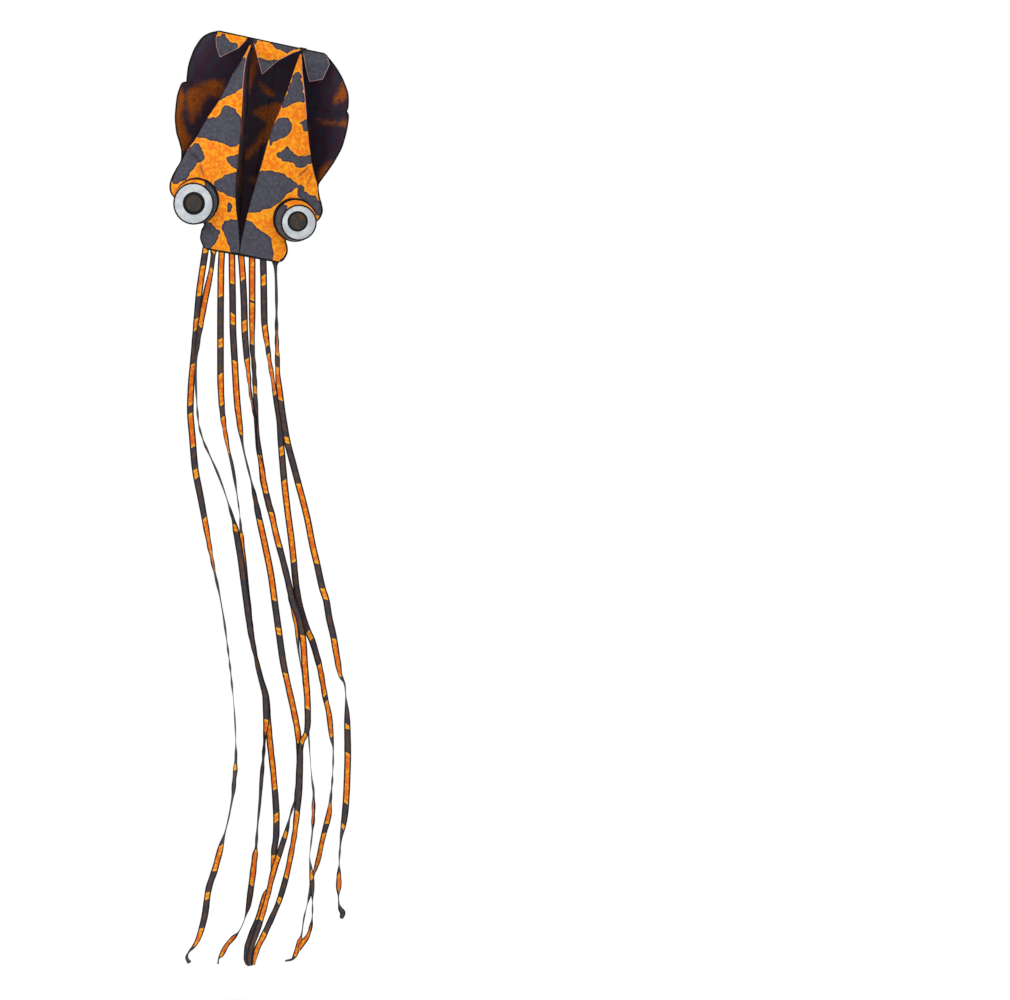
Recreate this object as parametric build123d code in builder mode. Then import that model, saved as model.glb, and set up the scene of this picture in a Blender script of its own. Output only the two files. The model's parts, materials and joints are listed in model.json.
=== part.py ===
"""Soft octopus kite: an inflatable head in kite fabric with eight ribbon tentacles.

The head has no stiffening rods.  A domed back catches the wind, two belly panels and two ribs
turn its sides into air cells, and the tentacles are sewn into the hem at the neck.  The head
hangs tilted, as when one bridle loop pulls a little more than the other, and the tentacles hang
straight down.  Row frame: origin midway between the two bridle loops, +Z up, -Y towards the
flier.  The head has its own axes: across, depth (the row's Y) and height above the hem.
"""

import os
from math import asin, atan, cos, degrees, radians, sin, sqrt

from build123d import *

# ---------------------------------------------------------------- driving dimensions (mm)
TILT = 10.5                   # lean of the head about the row's Y axis, degrees
HEAD_HEIGHT = 886             # hem to leading edge
SKIN = 2.0                    # modelled thickness of the kite fabric
SEAM_GAP = 0.5                # gap left along each sewn edge

# Back of the head: height above the hem, half width of the rim, depth of the arc at its middle
LOWER_BACK = [
    (8, 166, 12),
    (60, 168, 48),
    (115, 190, 86),
    (165, 272, 116),
    (220, 322, 140),
    (335, 297, 174),
    (500, 354, 190),
    (666, 347, 173),
]
UPPER_BACK = [
    (670, 338, 172),
    (760, 320, 135),
    (830, 284, 84),
    (868, 252, 40),
    (HEAD_HEIGHT, 226, 10),
]

# Belly panel: height, depth of the inner edge, outer edge across, its depth, forward bulge
BELLY = [
    (8, -6, 165, -5, 3),
    (60, -30, 167, -5, 12),
    (115, -52, 189, -5, 16),
    (165, -68, 271, -5, 18),
    (220, -82, 321, -5, 20),
    (335, -98, 292, -8, 22),
    (420, -102, 252, -30, 20),
    (500, -100, 222, -45, 16),
    (640, -86, 180, -52, 12),
    (760, -56, 143, -38, 6),
    (840, -26, 119, -20, 3),
    (862, -16, 115, -14, 1),
]
BELLY_SLOPE = 0.128           # the inner edges spread this much for each unit of height

# Leading-edge lips: across, height of each corner
LEFT_LIP = [(-218, 883), (-252, 852), (-235, 794), (-161, 845), (-130, 883)]
CENTRE_LIP = [(-98, 883), (-80, 838), (-41, 760), (62, 838), (98, 883)]
RIGHT_LIP = [(126, 883), (160, 763), (208, 781), (222, 855), (206, 883)]
LIP_LEAN = 7                  # degrees that each lip leans back into the head
LIP_DEPTH = -5                # of the lips' top line

# Eyes
EYE_ACROSS = 225
EYE_HEIGHT = 168
EYE_DEPTH = -51
EYE_TURN = 20                 # degrees that each eye faces outwards
SOCKET_RADIUS = 90
SOCKET_THICKNESS = 2
PAD_RADIUS = 74
PAD_THICKNESS = 16
EYE_RADIUS = 78
PUPIL_RADIUS = 42
FACE_THICKNESS = 2
PIPING = 3.5

# Edges and fittings
BINDING = 4
TAPE_HEIGHT = 6
TAPE_THICKNESS = 5
HEM_HALF_WIDTH = 168
HEM_DEPTH = 16
HEM_HEIGHT = 11
HEM_BOTTOM = -4
HEM_MIDDLE_DEPTH = 2
RIB_TO_BELLY = 1              # gap from the rib's front edge to the belly's cloth
RIB_TO_BACK = 3               # gap from the rib's rear edge to the back's cloth
LOOP_ACROSS = 106
LOOP_DEPTH = -26
LOOP_HEIGHT = 884
LOOP_BORE_RADIUS = 4
WEBBING = 2
WEBBING_WIDTH = 10
PATCH_WIDTH = 30
PATCH_HEIGHT = 16
PATCH_THICKNESS = 1.5

# Tentacles: ribbon width, thickness, and the hinge line just under the hem
RIBBON_WIDTH = 30
RIBBON = 1.5
HINGE_HEIGHT = -6.5
RIBBON_START = 1.6            # from the hinge line to the ribbon's sewn end

# Each ribbon: lean out of the plane of the hem, then its route (row X and Z from the hem's centre)
TENTACLES = {
    1: (0.018, [(-141, 14), (-173, -172), (-192, -330), (-207, -550), (-199, -770), (-162, -1040),
                (-110, -1320), (-55, -1630), (-21, -1960), (-21, -2190), (-48, -2400), (-95, -2580),
                (-140, -2720), (-176, -2860), (-212, -2960), (-214, -2995)]),
    2: (-0.004, [(-108, 10), (-132, -150), (-172, -330), (-184, -590), (-152, -785), (-78, -960),
                 (-22, -1140), (12, -1310), (52, -1570), (86, -1760), (106, -1960), (98, -2060),
                 (84, -2240), (70, -2430), (42, -2660), (2, -2830), (-72, -2940), (-92, -2985)]),
    3: (0.002, [(-74, 4), (-77, -100), (-80, -510), (-72, -690), (-46, -833), (-22, -945),
                (4, -1110), (22, -1320), (60, -1570), (92, -1760), (118, -1960), (134, -2150),
                (150, -2370), (144, -2540), (118, -2670), (70, -2810), (30, -2910), (24, -2985)]),
    4: (-0.008, [(-32, -3), (-28, -300), (-8, -620), (16, -820), (58, -1000), (108, -1230),
                 (150, -1480), (182, -1720), (226, -1920), (252, -2080), (252, -2210), (238, -2390),
                 (200, -2610), (158, -2740), (104, -2855), (66, -2940), (60, -2995)]),
    5: (0.002, [(6, -10), (20, -150), (20, -300), (36, -520), (60, -690), (84, -880), (132, -1080),
                (180, -1260), (222, -1480), (260, -1680), (282, -1900), (290, -2060), (304, -2210),
                (307, -2420), (300, -2660), (302, -2760), (284, -2880), (254, -2925)]),
    6: (-0.012, [(51, -18), (50, -230), (56, -440), (66, -640), (86, -810), (124, -990),
                 (178, -1230), (226, -1440), (268, -1650), (272, -1820), (262, -2060), (246, -2230),
                 (208, -2440), (160, -2560), (128, -2680), (78, -2810), (42, -2910), (38, -2980)]),
    7: (0.010, [(99, -27), (104, -310), (128, -500), (158, -690), (176, -850), (196, -1060),
                (226, -1300), (262, -1500), (306, -1680), (350, -1880), (384, -2050), (391, -2180),
                (378, -2330), (350, -2480), (312, -2620), (282, -2750), (240, -2890), (186, -2972)]),
    8: (-0.004, [(149, -36), (156, -300), (166, -580), (200, -800), (246, -1000), (300, -1190),
                 (344, -1380), (390, -1580), (424, -1780), (446, -1920), (453, -2060), (453, -2200),
                 (440, -2400), (424, -2590), (418, -2700), (426, -2790)]),
}

# ---------------------------------------------------------------- the head's own frame
across_axis = Vector(cos(radians(TILT)), 0, -sin(radians(TILT)))
height_axis = Vector(sin(radians(TILT)), 0, cos(radians(TILT)))
hem_centre = Vector(0, -LOOP_DEPTH, 0) - height_axis * LOOP_HEIGHT
HEAD = Plane(origin=hem_centre, x_dir=across_axis, z_dir=height_axis)


def head_point(across, depth, height):
    """Row-frame position of a point given on the head's axes."""
    return HEAD.from_local_coords(Vector(across, depth, height))


def finish(part, name):
    """Label a finished sub-part and write its file."""
    part.label = name
    export_step(part, f"parts/{name}.step")


def side_name(side):
    return "right" if side > 0 else "left"


os.makedirs("parts", exist_ok=True)

# ---------------------------------------------------------------- back of the head


def back_radius(half_width, depth):
    return (half_width**2 + depth**2) / (2 * depth)


def back_panel(side, sections):
    """Half of the domed back: a thin loft through arcs, from the centre seam to the rim."""
    with BuildPart() as panel:
        for height, half_width, depth in sections:
            radius = back_radius(half_width, depth)
            centre = (0, depth - radius)
            seam = degrees(SEAM_GAP / 2 / radius)
            sweep_angle = degrees(asin(half_width / radius)) - seam
            with BuildSketch(HEAD.offset(height)):
                with BuildLine():
                    outer = CenterArc(centre, radius, 90 - side * seam, -side * sweep_angle)
                    inner = CenterArc(centre, radius - SKIN, 90 - side * seam, -side * sweep_angle)
                    Line(outer @ 0, inner @ 0)
                    Line(outer @ 1, inner @ 1)
                make_face()
        loft(ruled=True)
    return panel.part


for side in (-1, 1):
    finish(back_panel(side, LOWER_BACK), f"back_lower_{side_name(side)}")
    finish(back_panel(side, UPPER_BACK), f"back_upper_{side_name(side)}")

# ---------------------------------------------------------------- belly panels and ribs


def inner_edge(height):
    return BELLY_SLOPE * height + SEAM_GAP


def belly_panel(side):
    """Wedge panel from the hem to its apex at the bridle loop, bulging towards the flier."""
    with BuildPart() as panel:
        for height, inner_depth, outer_across, outer_depth, bulge in BELLY:
            inner = Vector(side * inner_edge(height), inner_depth)
            outer = Vector(side * outer_across, outer_depth)
            middle = (inner + outer) / 2 - Vector(0, bulge)
            back = Vector(0, SKIN)
            with BuildSketch(HEAD.offset(height)):
                with BuildLine():
                    ThreePointArc(inner, middle, outer)
                    ThreePointArc(inner + back, middle + back, outer + back)
                    Line(inner, inner + back)
                    Line(outer, outer + back)
                make_face()
        loft(ruled=True)
    return panel.part


def rib(side):
    """Flat rib on the belly panel's inner edge, reaching back to the dome."""
    lean = atan(BELLY_SLOPE)
    stretch = sqrt(1 + BELLY_SLOPE**2)
    plane = Plane(
        origin=head_point(side * (SEAM_GAP + RIBBON), 0, 0),
        x_dir=height_axis * cos(lean) + across_axis * side * sin(lean),
        z_dir=(height_axis * cos(lean) + across_axis * side * sin(lean)).cross(Vector(0, 1, 0)),
    )
    front = [(h * stretch, depth + SKIN + RIB_TO_BELLY) for h, depth, *_ in BELLY[1:]]
    back = []
    for height, half_width, depth in LOWER_BACK[1:] + UPPER_BACK[1:-1]:
        radius = back_radius(half_width, depth)
        reach = sqrt((radius - SKIN)**2 - inner_edge(height)**2) + depth - radius
        back.append((height * stretch, reach - RIB_TO_BACK))
    facing = plane.y_dir.Y
    with BuildPart() as panel:
        with BuildSketch(plane):
            with BuildLine():
                front_edge = Polyline(*[(x, y * facing) for x, y in front])
                back_edge = Polyline(*[(x, y * facing) for x, y in back])
                Line(front_edge @ 0, back_edge @ 0)
                Line(front_edge @ 1, back_edge @ 1)
            make_face()
        extrude(amount=RIBBON / 2, both=True)
    return panel.part


for side in (-1, 1):
    finish(belly_panel(side), f"belly_{side_name(side)}")
    finish(rib(side), f"rib_{side_name(side)}")

# ---------------------------------------------------------------- leading edge, lips, bindings
top_radius = back_radius(*UPPER_BACK[-1][1:])
top_centre = (0, UPPER_BACK[-1][2] - top_radius)
top_angle = degrees(asin(UPPER_BACK[-1][1] / top_radius))

with BuildPart() as leading_edge_tape:
    with BuildSketch(HEAD.offset(HEAD_HEIGHT + SEAM_GAP)):
        with BuildLine():
            outer = CenterArc(top_centre, top_radius + TAPE_THICKNESS / 2, 90 - top_angle, 2 * top_angle)
            inner = CenterArc(top_centre, top_radius - TAPE_THICKNESS / 2, 90 - top_angle, 2 * top_angle)
            Line(outer @ 0, inner @ 0)
            Line(outer @ 1, inner @ 1)
        make_face()
    extrude(amount=TAPE_HEIGHT)
finish(leading_edge_tape.part, "leading_edge_tape")

for name, corners in (("lip_left", LEFT_LIP), ("lip_centre", CENTRE_LIP), ("lip_right", RIGHT_LIP)):
    top_line = head_point(0, LIP_DEPTH, HEAD_HEIGHT)
    lip_up = height_axis * cos(radians(LIP_LEAN)) - Vector(0, 1, 0) * sin(radians(LIP_LEAN))
    lip_plane = Plane(origin=top_line, x_dir=across_axis, z_dir=across_axis.cross(lip_up))
    with BuildPart() as lip:
        with BuildSketch(lip_plane):
            with BuildLine():
                Polyline(*[(x, h - HEAD_HEIGHT) for x, h in corners], close=True)
            make_face()
        extrude(amount=SKIN / 2, both=True)
    finish(lip.part, name)

for side in (-1, 1):
    with BuildPart() as binding:
        for height, half_width, depth in LOWER_BACK + UPPER_BACK:
            with BuildSketch(HEAD.offset(height)):
                with Locations((side * (half_width + SEAM_GAP + BINDING / 2), -BINDING / 4)):
                    Rectangle(BINDING, BINDING)
        loft(ruled=True)
    finish(binding.part, f"side_binding_{side_name(side)}")

with BuildPart() as hem_band:
    with BuildSketch(HEAD.offset(HEM_BOTTOM)):
        with Locations((0, HEM_MIDDLE_DEPTH)):
            RectangleRounded(2 * HEM_HALF_WIDTH, HEM_DEPTH, HEM_DEPTH / 3)
    extrude(amount=HEM_HEIGHT)
finish(hem_band.part, "hem_band")

# ---------------------------------------------------------------- eyes


def eye_disc(plane, lift, thickness, radius, hole=0):
    """A flat disc, or a ring, standing in front of the eye's base plane."""
    with BuildPart() as disc:
        with BuildSketch(plane.offset(lift)):
            Circle(radius)
            if hole:
                Circle(hole, mode=Mode.SUBTRACT)
        extrude(amount=thickness)
    return disc.part


for side in (-1, 1):
    outward = across_axis * side * sin(radians(EYE_TURN)) - Vector(0, 1, 0) * cos(radians(EYE_TURN))
    eye = Plane(
        origin=head_point(side * EYE_ACROSS, EYE_DEPTH, EYE_HEIGHT),
        x_dir=height_axis,
        z_dir=outward,
    )
    face_lift = SOCKET_THICKNESS + PAD_THICKNESS
    pupil_lift = face_lift + FACE_THICKNESS
    which = side_name(side)
    finish(eye_disc(eye, 0, SOCKET_THICKNESS, SOCKET_RADIUS), f"eye_socket_{which}")
    finish(eye_disc(eye, SOCKET_THICKNESS, PAD_THICKNESS, PAD_RADIUS), f"eye_pad_{which}")
    finish(eye_disc(eye, face_lift, FACE_THICKNESS, EYE_RADIUS), f"eye_white_{which}")
    finish(eye_disc(eye, pupil_lift, FACE_THICKNESS, PUPIL_RADIUS), f"eye_pupil_{which}")
    piping = eye_disc(eye, face_lift - PIPING / 2, PIPING, EYE_RADIUS + PIPING, EYE_RADIUS)
    finish(piping, f"eye_piping_{which}")

# ---------------------------------------------------------------- bridle loops
for side in (-1, 1):
    across = side * LOOP_ACROSS
    loop_plane = Plane(
        origin=head_point(across, LOOP_DEPTH, LOOP_HEIGHT),
        x_dir=Vector(0, 1, 0),
        z_dir=across_axis,
    )
    patch_end = LOOP_ACROSS + PATCH_WIDTH / 2
    tape_front = top_centre[1] + sqrt((top_radius - TAPE_THICKNESS / 2)**2 - patch_end**2)
    patch_front = tape_front - SEAM_GAP - PATCH_THICKNESS
    tail = patch_front - SEAM_GAP - LOOP_DEPTH
    loop_radius = LOOP_BORE_RADIUS + WEBBING
    with BuildPart() as loop:
        with BuildSketch(loop_plane):
            Circle(loop_radius)
            with Locations((tail / 2, 0)):
                Rectangle(tail, 2 * WEBBING)
            Circle(LOOP_BORE_RADIUS, mode=Mode.SUBTRACT)
        extrude(amount=WEBBING_WIDTH / 2, both=True)
    finish(loop.part, f"bridle_loop_{side_name(side)}")
    patch_plane = Plane(
        origin=head_point(across, patch_front, LOOP_HEIGHT + PATCH_HEIGHT / 4),
        x_dir=across_axis,
        z_dir=Vector(0, 1, 0),
    )
    with BuildPart() as patch:
        with BuildSketch(patch_plane):
            RectangleRounded(PATCH_WIDTH, PATCH_HEIGHT, PATCH_HEIGHT / 4)
        extrude(amount=PATCH_THICKNESS)
    finish(patch.part, f"bridle_patch_{side_name(side)}")

# ---------------------------------------------------------------- tentacles


def tentacle(lean, route):
    """Flat ribbon along its route, in a plane through the hinge line."""
    lean_angle = atan(lean)
    plane_up = height_axis * cos(lean_angle) - Vector(0, 1, 0) * sin(lean_angle)
    hinge = head_point(0, 0, HINGE_HEIGHT)
    plane = Plane(origin=hinge, x_dir=across_axis, z_dir=across_axis.cross(plane_up))
    points = []
    for x, z in route:
        point = Vector(x, 0, z)
        points.append(Vector(point.dot(across_axis), point.dot(height_axis) - HINGE_HEIGHT))
    points[0] = Vector(points[0].X, -RIBBON_START)
    left = []
    right = []
    for i, point in enumerate(points):
        ahead = points[min(i + 1, len(points) - 1)]
        behind = points[max(i - 1, 0)]
        along = (ahead - behind).normalized()
        side_step = Vector(-along.Y, along.X) * RIBBON_WIDTH / 2
        if i == 0:
            side_step = Vector(RIBBON_WIDTH / 2, 0)
        left.append(point + side_step)
        right.append(point - side_step)
    with BuildPart() as ribbon:
        with BuildSketch(plane):
            with BuildLine():
                left_edge = Spline(*left)
                right_edge = Spline(*right)
                Line(left_edge @ 0, right_edge @ 0)
                Line(left_edge @ 1, right_edge @ 1)
            make_face()
        extrude(amount=RIBBON / 2, both=True)
    return ribbon.part


for number, (lean, route) in TENTACLES.items():
    finish(tentacle(lean, route), f"tentacle_{number}")
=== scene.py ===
"""Looks of the soft octopus kite: printed ripstop panels, bound edges, stuffed eyes and ribbons.

Tables of the head are in millimetres on the head's own axes: across, depth (row Y) and height
above the hem.  Tables of the ribbons are in millimetres from the hem's centre, along row X and Z.
"""

import json
import math

import bpy
import numpy as np
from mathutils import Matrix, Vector, noise


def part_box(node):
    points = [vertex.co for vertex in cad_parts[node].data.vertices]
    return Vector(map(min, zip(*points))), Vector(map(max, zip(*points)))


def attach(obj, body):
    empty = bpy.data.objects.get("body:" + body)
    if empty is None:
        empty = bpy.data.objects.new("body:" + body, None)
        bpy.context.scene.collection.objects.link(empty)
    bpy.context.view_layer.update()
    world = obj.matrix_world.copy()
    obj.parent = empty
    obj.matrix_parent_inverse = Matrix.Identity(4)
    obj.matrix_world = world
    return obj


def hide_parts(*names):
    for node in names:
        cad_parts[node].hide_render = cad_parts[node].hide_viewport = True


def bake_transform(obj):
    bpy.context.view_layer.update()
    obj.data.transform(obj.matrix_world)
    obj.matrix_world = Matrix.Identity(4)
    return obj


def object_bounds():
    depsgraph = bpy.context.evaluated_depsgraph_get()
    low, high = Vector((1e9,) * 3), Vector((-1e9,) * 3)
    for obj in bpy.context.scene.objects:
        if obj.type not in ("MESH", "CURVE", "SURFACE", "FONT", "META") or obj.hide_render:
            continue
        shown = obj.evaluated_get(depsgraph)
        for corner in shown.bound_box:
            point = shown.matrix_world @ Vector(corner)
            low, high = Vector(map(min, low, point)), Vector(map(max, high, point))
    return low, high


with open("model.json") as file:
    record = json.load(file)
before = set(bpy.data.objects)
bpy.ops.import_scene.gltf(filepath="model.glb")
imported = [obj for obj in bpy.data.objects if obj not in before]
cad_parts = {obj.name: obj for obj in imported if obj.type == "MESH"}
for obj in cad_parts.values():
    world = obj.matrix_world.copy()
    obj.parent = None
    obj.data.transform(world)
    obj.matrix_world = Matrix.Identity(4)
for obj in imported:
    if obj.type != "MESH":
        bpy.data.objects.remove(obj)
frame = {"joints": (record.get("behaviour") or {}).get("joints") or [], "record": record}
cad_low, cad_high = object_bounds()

MM = 0.001

# ---------------------------------------------------------------- the head's axes, from the frame
mounts = {mount["name"]: mount for mount in frame["record"]["mounts"]}
swing = frame["joints"][0]
HINGE_BELOW_HEM = 6.5
ACROSS = np.array(mounts["bridle_loop_right"]["axis"])
DEPTH = np.array([0.0, 1.0, 0.0])
HEIGHT = np.cross(ACROSS, DEPTH)
HEM = np.array(swing["pos_m"]) + HEIGHT * HINGE_BELOW_HEM * MM

# ---------------------------------------------------------------- shape of the head (mm)
# Back: height, rim to the left, rim to the right, depth of the dome
LOWER_BACK = [
    (-5, 144, 172, 9), (6, 156, 184, 15), (40, 171, 194, 38), (62, 171, 189, 52),
    (88, 164, 178, 68), (112, 182, 182, 84), (140, 238, 216, 100), (175, 304, 274, 120),
    (205, 331, 302, 135), (232, 337, 308, 146), (262, 333, 299, 154), (293, 324, 284, 163),
    (340, 309, 271, 174), (375, 314, 284, 179), (404, 326, 298, 183), (457, 352, 321, 188),
    (527, 369, 341, 190), (600, 374, 346, 185), (641, 369, 344, 178), (656, 364, 340, 176),
    (666, 346, 330, 173),
]
UPPER_BACK = [
    (666, 346, 330, 173), (680, 348, 334, 171), (729, 351, 327, 152), (789, 343, 297, 116),
    (823, 332, 272, 90), (853, 316, 244, 60), (875, 291, 219, 34), (886, 268, 206, 18),
    (892, 254, 199, 9),
]
# Belly panels: height, across of the left panel's inner and outer edge, the same for the right
BELLY = [
    (-5, -1, -142, 1, 170), (6, -2, -154, 1, 182), (40, -7, -170, 1, 192), (62, -12, -169, 1, 187),
    (88, -18, -162, 3, 176), (112, -24, -180, 4, 180), (140, -34, -236, 6, 214),
    (175, -44, -302, 8, 272), (205, -51, -329, 11, 300), (232, -57, -335, 13, 306),
    (262, -62, -331, 17, 297), (293, -66, -322, 20, 282), (340, -70, -307, 25, 269),
    (379, -73, -294, 30, 250), (440, -78, -265, 35, 226), (522, -87, -236, 44, 200),
    (618, -98, -195, 63, 173), (711, -113, -168, 79, 147), (807, -119, -133, 90, 118),
    (866, -110, -115, 99, 105),
]
# Belly panels: height, depth of the inner edge, depth of the outer edge, bulge between them
BELLY_DEPTH = [
    (-5, -6, -4, 2), (60, -30, -4, 12), (115, -52, -4, 16), (165, -68, -4, 18), (220, -82, -4, 20),
    (335, -98, -8, 22), (420, -102, -30, 20), (500, -100, -45, 16), (640, -86, -52, 12),
    (760, -56, -38, 6), (840, -26, -20, 3), (866, -15, -13, 1),
]
# Where each rib meets the back: across at each height
RIB_ROOT = [(30, 4), (200, 26), (500, 64), (860, 108)]

HEM_FOOT = BELLY[0][0]        # lowest edge of the panels, inside the hem strip
BELLY_TOP = BELLY[-1][0]
BACK_TOP = UPPER_BACK[-1][0]
LIP_TOP = 890                 # the lips' sewn edge, just under the leading-edge tape
LIP_REACH = 130               # the lips' curve in depth is drawn over this drop
UV_SHIFT = 400                # keeps the cloth's flat coordinates across positive
LEADING_EDGE_RISE = -0.028    # the leading edge rises towards the left by this slope
SKIN = 0.5                    # visible thickness of the cloth
BINDING_RADIUS = 3.4
PLY = 1.2                     # gap between cloths sewn together

# Lips: corners of the free edge from left to right, and the ends of the sewn edge
LIPS = {
    "lip_left": ([(-262, 872), (-252, 832), (-231, 794), (-160, 845), (-134, 886)], (-258, -132)),
    "lip_centre": ([(-104, 884), (-86, 845), (-44, 756), (10, 822), (70, 868), (96, 882)], (-103, 97)),
    "lip_right": ([(110, 878), (131, 819), (157, 762), (209, 781), (228, 846), (214, 872)], (111, 212)),
}

# Folds where the cloth is darted: across and height of both ends, depth, half width
FOLDS = [
    (-278, 376, -238, 352, 9, 7), (-227, 334, -202, 286, 8, 7), (-150, 345, -118, 300, 3, 9),
    (188, 356, 224, 408, 9, 7), (240, 380, 229, 334, 9, 7), (208, 330, 200, 290, 8, 6),
    (150, 236, 176, 262, 5, 8), (-120, 150, -90, 120, 4, 8), (212, 460, 180, 440, 5, 7),
]

# ---------------------------------------------------------------- the print (mm)
LEFT_BLOBS = [
    [(-129, 812), (-110, 751), (-108, 700), (-121, 665), (-200, 612), (-170, 711)],
    [(-172, 593), (-142, 588), (-94, 559), (-76, 456), (-116, 427), (-169, 439), (-258, 443),
     (-272, 460), (-238, 522), (-188, 539)],
    [(-266, 414), (-245, 411), (-216, 372), (-213, 350), (-232, 339), (-255, 306), (-280, 261),
     (-305, 238), (-330, 241), (-328, 294), (-300, 370)],
    [(-117, 375), (-95, 394), (-60, 396), (-58, 342), (-86, 344), (-109, 359)],
    [(-154, 258), (-141, 286), (-108, 307), (-55, 322), (-46, 233), (-89, 223), (-133, 240)],
    [(-84, 198), (-64, 190), (-60, 165), (-74, 160)],
    [(-180, 58), (-160, 100), (-106, 78), (-95, 56), (-127, -9), (-165, -5)],
    [(-87, 94), (-74, 122), (-30, 132), (-8, 77), (8, -10), (-30, -8), (-67, 46)],
]
RIGHT_BLOBS = [
    [(90, 775), (113, 786), (134, 738), (155, 675), (121, 658), (70, 624), (76, 684)],
    [(56, 570), (90, 587), (119, 570), (126, 545), (112, 510), (75, 488), (46, 462), (42, 509)],
    [(154, 580), (178, 600), (194, 557), (173, 552)],
    [(84, 424), (94, 444), (116, 466), (135, 463), (157, 444), (190, 447), (228, 455), (234, 425),
     (185, 394), (161, 405), (120, 406)],
    [(28, 345), (110, 359), (142, 346), (191, 318), (149, 270), (124, 225), (5, 165), (10, 246)],
    [(195, 319), (212, 326), (240, 294), (275, 289), (315, 233), (291, 215), (265, 240),
     (222, 265), (199, 276)],
    [(0, 137), (52, 120), (117, 84), (131, 54), (137, -12), (61, -18), (-6, -12), (-4, 60)],
    [(190, 26), (196, 56), (210, 8), (179, -14), (165, -16)],
]
LIP_BLOBS = [
    [(-272, 858), (-236, 892), (-200, 868), (-158, 850), (-231, 786), (-256, 832)],
    [(-30, 900), (90, 900), (66, 874), (39, 861), (5, 869), (-18, 877)],
    [(-84, 820), (-33, 815), (14, 826), (-48, 748)],
    [(-110, 900), (-92, 900), (-94, 868), (-108, 860)],
    [(100, 905), (225, 890), (240, 840), (212, 772), (150, 750)],
]
# Brown clouds on the inner face, with how bright each one is
CLOUDS = [
    (1.0, [(-384, 640), (-380, 500), (-350, 430), (-315, 372), (-290, 440), (-318, 470),
           (-345, 532), (-350, 605)]),
    (0.7, [(-350, 619), (-268, 693), (-197, 706), (-205, 631), (-249, 630), (-272, 590),
           (-285, 515), (-312, 509)]),
    (0.8, [(-62, 731), (-31, 722), (10, 700), (-1, 680), (-41, 695)]),
    (0.95, [(-58, 600), (-28, 632), (41, 660), (66, 637), (45, 574), (30, 513), (-12, 455),
            (-45, 403), (-66, 422), (-32, 473), (0, 560), (-25, 585)]),
    (0.7, [(-22, 322), (13, 328), (10, 300), (-11, 296)]),
    (0.8, [(267, 704), (296, 788), (328, 758), (325, 722), (283, 695)]),
    (0.7, [(205, 622), (283, 621), (352, 634), (352, 596), (308, 603), (235, 604)]),
    (0.8, [(270, 419), (314, 455), (295, 384), (262, 350)]),
    (0.85, [(-95, 880), (-78, 800), (-88, 690), (-104, 700), (-104, 860)]),
    (0.4, [(120, 560), (200, 590), (190, 520), (130, 500)]),
]
# ---------------------------------------------------------------- colours (linear)
ORANGE = (0.80, 0.165, 0.002, 1)
RIBBON_ORANGE = (0.68, 0.110, 0.002, 1)
AMBER = (0.90, 0.38, 0.006, 1)
SLATE = (0.060, 0.074, 0.106, 1)
SLATE_DARK = (0.032, 0.040, 0.062, 1)
PLUM = (0.035, 0.016, 0.055, 1)
NAVY = (0.032, 0.027, 0.046, 1)
NAVY_RED = (0.046, 0.019, 0.034, 1)
RUST = (0.20, 0.045, 0.006, 1)
RUST_BRIGHT = (0.52, 0.13, 0.008, 1)
BLACK = (0.003, 0.003, 0.004, 1)
RIBBON_DARK = (0.085, 0.045, 0.024, 1)
EDGE_DARK_AND_SHADE = (0.006, 0.003, 0.004, 1)
RIBBON_BLUE = (0.036, 0.030, 0.046, 1)
# Pale hem colour, also a painted highlight along the belly panels' lit edges
HEM_PALE_AND_HIGHLIGHT = (0.52, 0.30, 0.27, 1)
EYE_WHITE = (0.60, 0.63, 0.66, 1)
PUPIL_BROWN = (0.085, 0.042, 0.018, 1)


# ---------------------------------------------------------------- small tools
def smooth(table, column, x):
    """Monotone cubic through a table's column, with its first column as the argument."""
    rows = np.array(table, float)
    xs = rows[:, 0]
    ys = rows[:, column]
    step = np.diff(xs)
    slope = np.diff(ys) / step
    tangent = np.zeros(len(xs))
    tangent[0] = slope[0]
    tangent[-1] = slope[-1]
    same_way = slope[:-1] * slope[1:] > 0
    harmonic = 2 * slope[:-1] * slope[1:] / np.where(same_way, slope[:-1] + slope[1:], 1)
    tangent[1:-1] = np.where(same_way, harmonic, 0)
    x = np.clip(x, xs[0], xs[-1])
    i = np.clip(np.searchsorted(xs, x, side="right") - 1, 0, len(step) - 1)
    t = (x - xs[i]) / step[i]
    h = step[i]
    return (
        (1 + 2 * t) * (1 - t)**2 * ys[i]
        + t * (1 - t)**2 * h * tangent[i]
        + t * t * (3 - 2 * t) * ys[i + 1]
        + t * t * (t - 1) * h * tangent[i + 1]
    )


def to_row(across, depth, height):
    """Points on the head's axes, in mm, as row-frame positions in metres."""
    across, depth, height = np.broadcast_arrays(across, depth, height)
    return HEM + MM * (
        across[..., None] * ACROSS + depth[..., None] * DEPTH + height[..., None] * HEIGHT
    )


def wobble(points, size, seed):
    """Smooth noise from -1 to 1 at each row-frame point, with features of about size metres."""
    flat = points.reshape(-1, 3) / size + seed * 17.3
    values = [noise.noise(Vector(p)) for p in flat]
    return np.array(values).reshape(points.shape[:-1])


def wobbles(points, *waves):
    """Sum of noises in mm, each given as its height, size in metres and seed."""
    return sum(height * wobble(points, size, seed) for height, size, seed in waves)


def grid_normals(points):
    """Unit normals of a grid of points."""
    along = np.gradient(points, axis=0)
    over = np.gradient(points, axis=1)
    normal = np.cross(over, along)
    return normal / np.maximum(np.linalg.norm(normal, axis=-1, keepdims=True), 1e-9)


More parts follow.
